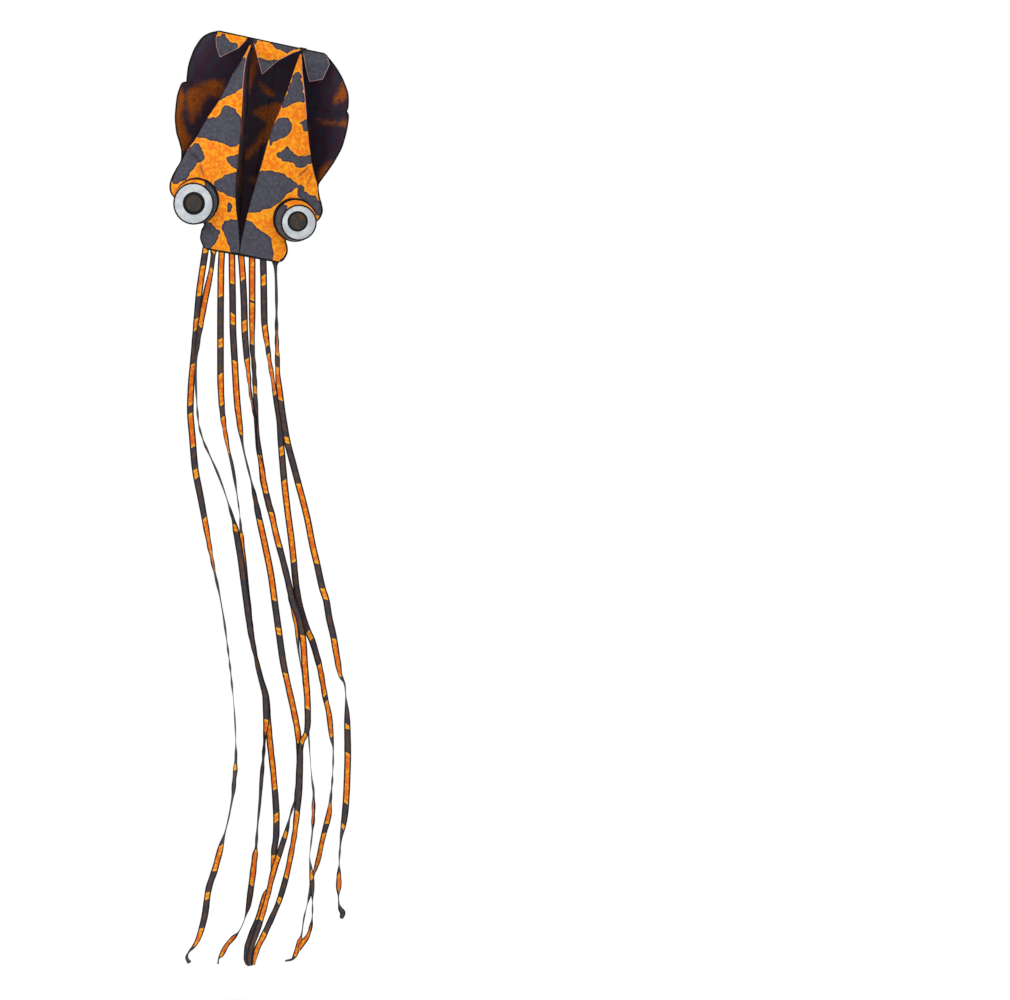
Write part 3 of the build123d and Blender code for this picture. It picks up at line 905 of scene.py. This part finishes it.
def disc(name, centre, axes, radius, lift, front, pucker=0.0):
    """A round cloth piece: rings of the given radii, outermost first, lifted along the normal."""
    right, up, normal = axes
    radius = radius[:, None]
    wave = pucker * np.sin(AROUND * 31 + 2 * np.sin(3 * AROUND))[None, :]
    lift = lift + wave * np.linspace(1, 0, len(radius))[:, None]**3
    points = centre + MM * (
        (radius * np.cos(AROUND))[..., None] * right
        + (radius * np.sin(AROUND))[..., None] * up
        + lift[..., None] * normal
    )
    uv = np.stack([radius * np.cos(AROUND) + UV_SHIFT, radius * np.sin(AROUND) + UV_SHIFT], -1) * MM
    layers = {"radial": radius + 0 * AROUND}
    return grid_object(name, points, uv, layers, front, None, 0.6 * MM, closed=True, filled=True)


def loop_tube(name, ring, thick, material):
    """A closed cord along a ring of points."""
    return tube(name, ring, thick * MM, material, ring_shaped=True)


def crown(distance, radius):
    """How far the stuffed face stands out at a distance from its centre."""
    return 10 * np.sin(math.pi / 2 * np.clip(1.5 * (1 - distance / radius), 0, 1))


def eye(which, side, base_at, base_radius, face_at, face_radius, pupil_at, pupil_radius, outward, down):
    """A stuffed eye: printed side wall with slate on its shaded side as partly painted shade, pale crowned
    face, pupil and corded edges, the base cord thickened as painted shade.
    """
    normal = side * ACROSS * math.sin(outward) - DEPTH * math.cos(outward) - HEIGHT * math.sin(down)
    normal /= np.linalg.norm(normal)
    right = np.cross(HEIGHT, normal)
    right /= np.linalg.norm(right)
    up = np.cross(normal, right)
    axes = (right, up, normal)
    face = to_row(np.array(float(face_at[0])), np.array(EYE_FRONT), np.array(float(face_at[1])))
    base_across = base_at[0] + base_radius * np.cos(AROUND)
    base_height = base_at[1] + base_radius * np.sin(AROUND)
    inner = smooth(BELLY, 1 if side < 0 else 3, base_height)
    outer = smooth(BELLY, 2 if side < 0 else 4, base_height)
    share = np.clip((base_across - inner) / (outer - inner), 0, 0.97)
    base_depth = belly_place(side, share, base_height)[1] + 1
    base = to_row(base_across, base_depth, base_height)
    rows = 14
    rise = np.linspace(0, 1, rows)[:, None]
    pucker = 1.1 * np.sin(AROUND * 27 + 2 * np.sin(2 * AROUND))[None, :] * (2 * rise - 1)**2
    outward_way = np.cos(AROUND)[:, None] * right + np.sin(AROUND)[:, None] * up
    rim = face + MM * (face_radius + 1) * outward_way
    swell = 5 * np.sin(math.pi * rise) + pucker
    points = base + (rim - base) * rise[..., None] + MM * swell[..., None] * outward_way
    round_wall = AROUND[None, :] * base_radius + UV_SHIFT + 0 * rise
    uv = np.stack([round_wall, 40 * rise + 0 * AROUND], -1) * MM
    # Slate print on the side of each wall that lies in shade, standing in part for painted shade; orange
    # print round the rest.
    slate_shade_way = math.radians(0 if side < 0 else 215)
    blob = 30 * (0.1 - np.cos(AROUND - slate_shade_way))[None, :] + 6 * rise
    wall = grid_object(f"eye_wall_{which}", points, uv, {"blob": blob}, OUTER, OUTER, 0.6 * MM, closed=True)
    on_head(wall, "eye_socket", f"eye_socket_{which}")
    radius = np.maximum(face_radius * (1 - np.linspace(0, 1, 30)), 0.05)
    white = disc(f"eye_face_{which}", face, axes, radius, crown(radius, face_radius)[:, None], WHITE, 0.9)
    on_head(white, "eye_white", f"eye_white_{which}", f"eye_pad_{which}")
    shift = np.array(pupil_at, float)
    radius = np.maximum(pupil_radius * (1 - np.linspace(0, 1, 20)), 0.05)
    from_middle = np.hypot(
        shift[0] + radius[:, None] * np.cos(AROUND), shift[1] + radius[:, None] * np.sin(AROUND)
    )
    lift = crown(from_middle, face_radius) + 0.9 + 0.8 * (1 - (radius[:, None] / pupil_radius)**6)
    centre = face + MM * (shift[0] * right + shift[1] * up)
    pupil = disc(f"eye_iris_{which}", centre, axes, radius, lift, PUPIL)
    on_head(pupil, "eye_pupil", f"eye_pupil_{which}")
    piping = loop_tube(f"eye_cord_{which}", rim, 3.2, BINDING)
    on_head(piping, "eye_piping", f"eye_piping_{which}")
    # Thick black cord round the wall's base: a seam cord, made thicker to stand for the shadow at the eye's
    # base (painted shade).
    seam = loop_tube(f"eye_seam_shadow_{which}", base - DEPTH * 2 * MM, 7.5, BINDING)
    on_head(seam, "eye_piping")


for which, shape in EYES.items():
    eye(which, *shape)

# ---------------------------------------------------------------- bridle loops and patches
LOOP_RADIUS = 5.0
LOOP_TAIL = 27.0              # how far the webbing's ends reach back from the bore
LOOP_HALF_WIDTH = 5
PATCH_HALF_WIDTH = 15
PATCH_HALF_HEIGHT = 8


def bridle_loop(which):
    """Webbing folded round the bridle's bore, with both ends laid together behind it."""
    bore = np.array(mounts[f"bridle_loop_{which}"]["pos_m"])
    turn = np.linspace(math.radians(35), math.radians(325), 40)
    arc = [(LOOP_RADIUS * math.cos(a), LOOP_RADIUS * math.sin(a)) for a in turn]
    tail = np.linspace(arc[0][0], LOOP_TAIL, 14)[1:]
    line = [(d, -1.0 - 1.9 * (LOOP_TAIL - d) / 23) for d in tail]
    path = np.array([(d, -h) for d, h in reversed(line)] + arc + line)
    place = bore + MM * (path[:, :1] * DEPTH + path[:, 1:] * HEIGHT)
    width = np.linspace(-LOOP_HALF_WIDTH, LOOP_HALF_WIDTH, 7)
    points = place[:, None, :] + MM * width[None, :, None] * ACROSS
    steps = np.arange(len(path))[:, None]
    uv = np.stack(np.broadcast_arrays(width[None, :] + UV_SHIFT, steps), -1) * MM
    loop = grid_object(f"bridle_webbing_{which}", points, uv, {}, WEBBING, WEBBING, 1.5 * MM)
    on_head(loop, "bridle_webbing", f"bridle_loop_{which}")


def bridle_patch(which):
    """Slightly cushioned webbing patch where the loop is sewn on."""
    low, high = (np.array(corner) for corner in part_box(f"bridle_patch_{which}"))
    centre = (low + high) / 2
    u = np.linspace(-PATCH_HALF_WIDTH, PATCH_HALF_WIDTH, 25)[None, :]
    v = np.linspace(-PATCH_HALF_HEIGHT, PATCH_HALF_HEIGHT, 15)[:, None]
    sewn_down = 0.25 * (np.abs(u) > 12) * (np.abs(v) < 6)
    swell = 0.7 * (1 - (u / PATCH_HALF_WIDTH)**4) * (1 - (v / PATCH_HALF_HEIGHT)**4) - sewn_down
    points = centre + MM * (u[..., None] * ACROSS - v[..., None] * HEIGHT - swell[..., None] * DEPTH)
    uv = np.stack(np.broadcast_arrays(u + UV_SHIFT, v + UV_SHIFT), -1) * MM
    patch = grid_object(f"bridle_anchor_{which}", points, uv, {}, WEBBING, WEBBING, 1.0 * MM)
    on_head(patch, "bridle_webbing", f"bridle_patch_{which}")


for which in ("left", "right"):
    bridle_loop(which)
    bridle_patch(which)

# ---------------------------------------------------------------- tentacles
RIBBON_WIDTH = 29
MOST_TURN = 79                # degrees; a ribbon seen quite edge on would vanish
RIBBON_ROWS = 520
EDGE_SHADE_SPREAD = 14              # how far painted shade spreads inward from the dark edges on a ribbon turned edge on
SHADE_SPREAD_FROM = 50              # degrees of turn where the painted shade begins to spread
SHADE_SPREAD_OVER = 25
# Each ribbon's middle line from the hem down: row X and Z from the hem's centre, turn in degrees
ROUTES = {
    1: [(-141, 24, 0), (-154, -60, 0), (-170, -172, 5), (-184, -330, 10), (-194, -450, 12),
        (-203, -550, 12), (-207, -660, 0), (-199, -770, 0), (-188, -900, 0), (-162, -1040, 10),
        (-136, -1180, 32), (-110, -1320, 60), (-82, -1460, 72), (-55, -1630, 74), (-33, -1800, 74),
        (-21, -1960, 86), (-18, -2100, 70), (-20, -2170, 50), (-24, -2214, 48), (-28, -2268, 56),
        (-36, -2321, 72), (-46, -2375, 86), (-62, -2439, 72), (-77, -2487, 40), (-86, -2520, 25),
        (-105, -2589, 18), (-134, -2680, 18), (-148, -2782, 12), (-163, -2846, 20),
        (-180, -2894, 42), (-196, -2920, 62), (-216, -2944, 80), (-223, -2964, 55),
        (-211, -2986, 40)],
    2: [(-108, 18, 45), (-118, -64, 42), (-142, -184, 20), (-159, -276, 25), (-175, -377, 50),
        (-184, -460, 70), (-185, -546, 80), (-181, -618, 80), (-172, -712, 80), (-149, -794, 76),
        (-134, -828, 76), (-96, -914, 76), (-71, -982, 82), (-57, -1025, 82), (-38, -1088, 70),
        (-23, -1136, 50), (-12, -1184, 20), (5, -1280, 5), (18, -1377, 5), (29, -1458, 10),
        (49, -1603, 30), (66, -1690, 52), (88, -1786, 42), (110, -1870, 22), (113, -1955, 20),
        (107, -2037, 66), (99, -2133, 66), (91, -2214, 52), (85, -2295, 72), (74, -2429, 74),
        (71, -2493, 66), (66, -2530, 38), (56, -2616, 22), (50, -2659, 25), (38, -2739, 45),
        (27, -2777, 70), (12, -2820, 84), (-6, -2852, 78), (-25, -2873, 50), (-57, -2911, 42),
        (-76, -2948, 50), (-88, -2966, 74), (-90, -2986, 78)],
    3: [(-74, 12, 5), (-78, -80, 0), (-80, -330, 0), (-80, -510, 0), (-75, -640, 25),
        (-69, -702, 36), (-50, -813, 55), (-30, -895, 62), (-18, -958, 66), (-9, -1015, 74),
        (1, -1088, 82), (6, -1160, 60), (7, -1200, 30), (14, -1280, 20), (24, -1377, 20),
        (34, -1458, 28), (52, -1603, 40), (68, -1690, 55), (91, -1786, 42), (112, -1870, 25),
        (118, -1955, 15), (128, -2061, 15), (142, -2181, 20), (145, -2214, 20), (152, -2305, 15),
        (155, -2375, 10), (154, -2439, 15), (143, -2525, 30), (141, -2560, 42), (131, -2621, 72),
        (120, -2670, 68), (108, -2700, 30), (80, -2793, 20), (53, -2857, 28), (30, -2921, 45),
        (28, -2964, 30), (33, -2992, 60)],
    4: [(-32, 0, 0), (-31, -80, 0), (-29, -200, 0), (-28, -300, 0), (-20, -460, 0), (-10, -620, 8),
        (2, -720, 35), (16, -820, 72), (36, -910, 84), (58, -1000, 60), (84, -1120, 20),
        (108, -1230, 8), (132, -1350, 0), (150, -1480, 0), (168, -1610, 5), (184, -1720, 10),
        (208, -1830, 25), (228, -1920, 20), (246, -2020, 25), (254, -2120, 10), (252, -2230, 8),
        (244, -2330, 20), (234, -2430, 40), (216, -2530, 35), (196, -2620, 30), (166, -2720, 35),
        (132, -2800, 30), (100, -2870, 25), (72, -2930, 35), (60, -2990, 60)],
    5: [(6, -3, 5), (12, -80, 8), (19, -217, 0), (22, -324, 5), (29, -420, 20), (38, -517, 48),
        (45, -589, 60), (58, -660, 62), (69, -705, 66), (74, -760, 86), (78, -837, 78),
        (88, -871, 52), (100, -958, 15), (121, -1049, 15), (136, -1102, 22), (153, -1184, 32),
        (165, -1232, 46), (179, -1280, 60), (196, -1353, 68), (215, -1458, 56), (232, -1531, 50),
        (242, -1603, 55), (247, -1670, 74), (259, -1748, 76), (273, -1820, 60), (284, -1900, 50),
        (290, -1990, 60), (293, -2037, 80), (297, -2109, 82), (304, -2214, 78), (310, -2268, 68),
        (309, -2353, 55), (305, -2428, 70), (299, -2493, 86), (295, -2536, 78), (301, -2589, 58),
        (305, -2640, 45), (307, -2696, 60), (307, -2750, 86), (304, -2803, 70), (296, -2841, 58),
        (284, -2873, 45), (266, -2896, 40), (248, -2926, 50)],
    6: [(53, -12, 0), (53, -120, 8), (53, -275, 25), (54, -396, 45), (61, -469, 50), (66, -575, 50),
        (68, -660, 48), (71, -730, 45), (77, -800, 42), (90, -880, 35), (102, -960, 28),
        (122, -1050, 22), (138, -1110, 20), (156, -1190, 20), (181, -1285, 20), (202, -1370, 20),
        (223, -1458, 15), (249, -1531, 10), (262, -1588, 8), (270, -1651, 5), (274, -1724, 5),
        (280, -1796, 10), (286, -1892, 18), (287, -1965, 20), (281, -2013, 45), (262, -2054, 40),
        (254, -2110, 30), (250, -2214, 25), (240, -2290, 52), (224, -2332, 74), (211, -2375, 72),
        (196, -2434, 52), (184, -2471, 30), (165, -2530, 25), (149, -2578, 25), (135, -2630, 32),
        (120, -2696, 40), (93, -2793, 30), (72, -2857, 30), (50, -2921, 36), (43, -2964, 30),
        (45, -2992, 50)],
    7: [(99, -20, 0), (101, -100, 0), (104, -284, 8), (115, -381, 35), (125, -453, 48),
        (142, -550, 48), (158, -646, 35), (168, -710, 22), (175, -813, 12), (186, -943, 0),
        (199, -1064, 5), (215, -1184, 5), (226, -1280, 5), (235, -1377, 10), (247, -1458, 10),
        (266, -1531, 10), (285, -1588, 10), (303, -1627, 10), (325, -1699, 18), (336, -1740, 25),
        (348, -1800, 30), (360, -1868, 32), (376, -1940, 32), (386, -2037, 50), (392, -2085, 72),
        (390, -2180, 80), (388, -2214, 76), (382, -2294, 68), (377, -2348, 36), (369, -2386, 30),
        (358, -2428, 35), (345, -2482, 35), (334, -2536, 40), (320, -2584, 55), (307, -2620, 60),
        (299, -2670, 50), (286, -2723, 76), (278, -2755, 84), (267, -2803, 80), (259, -2868, 68),
        (250, -2900, 35), (236, -2945, 45), (218, -2972, 78), (190, -2978, 84)],
    8: [(149, -29, 50), (152, -100, 66), (156, -220, 72), (157, -330, 62), (159, -429, 50),
        (160, -502, 42), (170, -598, 20), (186, -710, 12), (201, -794, 5), (225, -885, 5),
        (248, -972, 5), (284, -1112, 5), (308, -1233, 0), (325, -1305, 0), (350, -1416, 5),
        (364, -1458, 5), (376, -1530, 5), (395, -1613, 8), (411, -1710, 25), (422, -1772, 50),
        (441, -1815, 86), (447, -1880, 72), (452, -1940, 45), (454, -2020, 15), (455, -2100, 5),
        (452, -2214, 5), (448, -2294, 10), (442, -2360, 22), (434, -2412, 42), (427, -2450, 60),
        (422, -2500, 80), (420, -2540, 88), (419, -2585, 72), (418, -2643, 35), (417, -2696, 72),
        (418, -2729, 84), (423, -2753, 60), (434, -2772, 40), (428, -2796, 60)],
}
# The stretches of each ribbon where the print is dark, as drops below the hem's centre
DARK = {
    1: [(0, 55), (180, 275), (325, 465), (640, 675), (815, 910), (945, 1115), (1340, 2150),
        (2175, 2490), (2600, 2690), (2720, 2840), (2935, 3040)],
    2: [(0, 65), (310, 460), (575, 1140), (1170, 1960), (2045, 2505), (2655, 2850), (2955, 3040)],
    3: [(185, 360), (395, 510), (640, 690), (840, 1180), (1500, 1960), (2255, 2355), (2390, 2530),
        (2615, 2680), (2800, 3040)],
    4: [(130, 255), (300, 455), (765, 1120), (1460, 1575), (1605, 1765), (2060, 2345), (2625, 2705),
        (2730, 2855)],
    5: [(115, 285), (330, 445), (750, 850), (1010, 1090), (1235, 1420), (1675, 1830), (1990, 2300),
        (2400, 2590), (2630, 2820)],
    6: [(200, 210), (385, 560), (590, 850), (1010, 1090), (1235, 1605), (1915, 2020), (2060, 2430),
        (2455, 2530), (2800, 3040)],
    7: [(0, 95), (135, 305), (390, 425), (595, 815), (850, 955), (1300, 1590), (1625, 1730),
        (1860, 1885), (2035, 2310), (2400, 2440), (2630, 2865), (2960, 3040)],
    8: [(0, 280), (430, 480), (620, 775), (800, 970), (1305, 1410), (1455, 1620), (1780, 1980),
        (2000, 2100), (2310, 2400), (2420, 2585), (2685, 3040)],
}
# How far each ribbon leans back for each unit that it drops
PLANE_LEAN = {1: 0.018, 2: -0.004, 3: 0.002, 4: -0.008, 5: 0.002, 6: -0.012, 7: 0.010, 8: -0.004}


def ribbon(number):
    """One tentacle: a strip that follows its route and twists as it hangs."""
    name = f"tentacle_{number}"
    knots = np.array(ROUTES[number], float)
    reach = np.concatenate([[0], np.cumsum(np.linalg.norm(np.diff(knots[:, :2], axis=0), axis=1))])
    along = np.linspace(0, reach[-1], RIBBON_ROWS)
    table = np.column_stack([reach, knots])
    x = smooth(table, 1, along)
    z = smooth(table, 2, along)
    degrees = np.minimum(smooth(table, 3, along), MOST_TURN)
    turn = np.radians(degrees) * (1 if number % 2 else -1)
    down = -z
    depth = PLANE_LEAN[number] * down
    sway = 9 * np.sin(along / 210 + number * 1.7) * np.clip(along / 500, 0, 1)
    depth = depth + sway * 0.5
    centre = HEM + MM * np.column_stack([x, depth, z])
    tangent = np.gradient(centre, axis=0)
    tangent /= np.linalg.norm(tangent, axis=1, keepdims=True)
    side = np.cross(DEPTH, tangent)
    side /= np.linalg.norm(side, axis=1, keepdims=True)
    side = -side
    forward = np.cross(tangent, side)
    blend_in = np.clip(along / 25, 0, 1)[:, None]
    hem_side = np.tile(ACROSS, (RIBBON_ROWS, 1))
    width_axis = np.cos(turn)[:, None] * side + np.sin(turn)[:, None] * forward
    width_axis = hem_side * (1 - blend_in) + width_axis * blend_in
    width_axis /= np.linalg.norm(width_axis, axis=1, keepdims=True)
    face = np.cross(tangent, width_axis)
    columns = 9
    across = np.linspace(-0.5, 0.5, columns) * RIBBON_WIDTH
    cup = 1.6 * np.sin(along / 95 + number) * np.clip(along / 120, 0, 1)
    ripple = 1.3 * np.sin(along / 17 + 2.5 * np.sin(along / 73 + number)) * np.clip(along / 60, 0, 1)
    to_edge = (2 * across[None, :] / RIBBON_WIDTH)**2
    curl = (cup[:, None] + ripple[:, None] * np.sign(across)[None, :]) * to_edge
    points = centre[:, None, :] + MM * (
        across[None, :, None] * width_axis[:, None, :] + curl[..., None] * face[:, None, :]
    )
    uv = np.stack(np.broadcast_arrays(across[None, :] + UV_SHIFT, along[:, None]), -1) * MM
    slant = down[:, None] + 0.5 * across[None, :] * (1 if number % 2 else -1)
    dark = np.full(slant.shape, 1e3)
    for first, last in DARK[number]:
        dark = np.minimum(dark, np.maximum(first - slant, slant - last))
    # Painted shade: the dark edge band widens inward as the ribbon turns edge on.
    turn_shade = EDGE_SHADE_SPREAD * np.clip((degrees - SHADE_SPREAD_FROM) / SHADE_SPREAD_OVER, 0, 1)[:, None]
    edge = RIBBON_WIDTH / 2 - np.abs(across)[None, :] - turn_shade
    layers = {"dark": dark, "edge": np.broadcast_to(edge, slant.shape)}
    piece = grid_object(f"ribbon_{number}", points, uv, layers, RIBBON, RIBBON, 0.4 * MM)
    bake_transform(piece)
    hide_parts(name)
    return piece


for number in ROUTES:
    ribbon(number)

# ---------------------------------------------------------------- camera, light and backdrop
PICTURE_WIDTH = 4.242         # metres across the picture at the kite
HEM_LEFT_OF_MIDDLE = 1.115    # metres from the hem's centre to the middle of the picture
HEM_ABOVE_MIDDLE = 1.038
FLOOR_GAP = 0.12
FLOOR_RADIUS = 6.0
LENS = 200
SENSOR = 36


def look_at(thing, target):
    """Turn a camera or lamp to face a point."""
    thing.rotation_mode = "QUATERNION"
    thing.rotation_quaternion = (Vector(target) - thing.location).to_track_quat("-Z", "Y")


bpy.context.scene.view_settings.view_transform = "Standard"

camera = bpy.data.objects.new("camera", bpy.data.cameras.new("camera"))
bpy.context.scene.collection.objects.link(camera)
camera.data.lens = LENS
camera.data.sensor_width = SENSOR
distance = PICTURE_WIDTH / 2 / (SENSOR / 2 / LENS)
aim = HEM + np.array([HEM_LEFT_OF_MIDDLE, 0, -HEM_ABOVE_MIDDLE])
camera.location = aim - DEPTH * distance
camera.data.clip_end = 200
look_at(camera, aim)
bpy.context.scene.camera = camera


def area_light(name, place, target, size, power):
    """A round soft light that faces a point."""
    light = bpy.data.lights.new(name, "AREA")
    light.shape = "DISK"
    light.size = size
    light.energy = power
    lamp = bpy.data.objects.new(name, light)
    bpy.context.scene.collection.objects.link(lamp)
    lamp.location = place
    look_at(lamp, target)
    return lamp


kite_middle = Vector((cad_low + cad_high) / 2)
area_light("key", kite_middle + Vector((-4.0, -6.0, 4.5)), kite_middle, 3.5, 110)
area_light("back_light", kite_middle + Vector((2.0, 4.0, 4.0)), kite_middle, 3.0, 60)

world = bpy.data.worlds.new("studio")
bpy.context.scene.world = world
world.use_nodes = True
world.node_tree.nodes["Background"].inputs["Color"].default_value = (1, 1, 1, 1)
world.node_tree.nodes["Background"].inputs["Strength"].default_value = 1.0


def floor():
    """Plain pale floor a little below the tips of the ribbons."""
    angle = np.linspace(0, 2 * math.pi, 64, endpoint=False)
    below = cad_low.z - FLOOR_GAP
    rim = np.column_stack([FLOOR_RADIUS * np.cos(angle), FLOOR_RADIUS * np.sin(angle), 0 * angle + below])
    s = Shader("floor", roughness=0.95, specular=0.0)
    colour = s.mix(s.ramp(s.noise(3.0), 0.3, 0.7), (0.94, 0.94, 0.94, 1), (0.96, 0.96, 0.96, 1))
    new_object("floor", rim, [tuple(range(64))], [s.done(colour)])


floor()
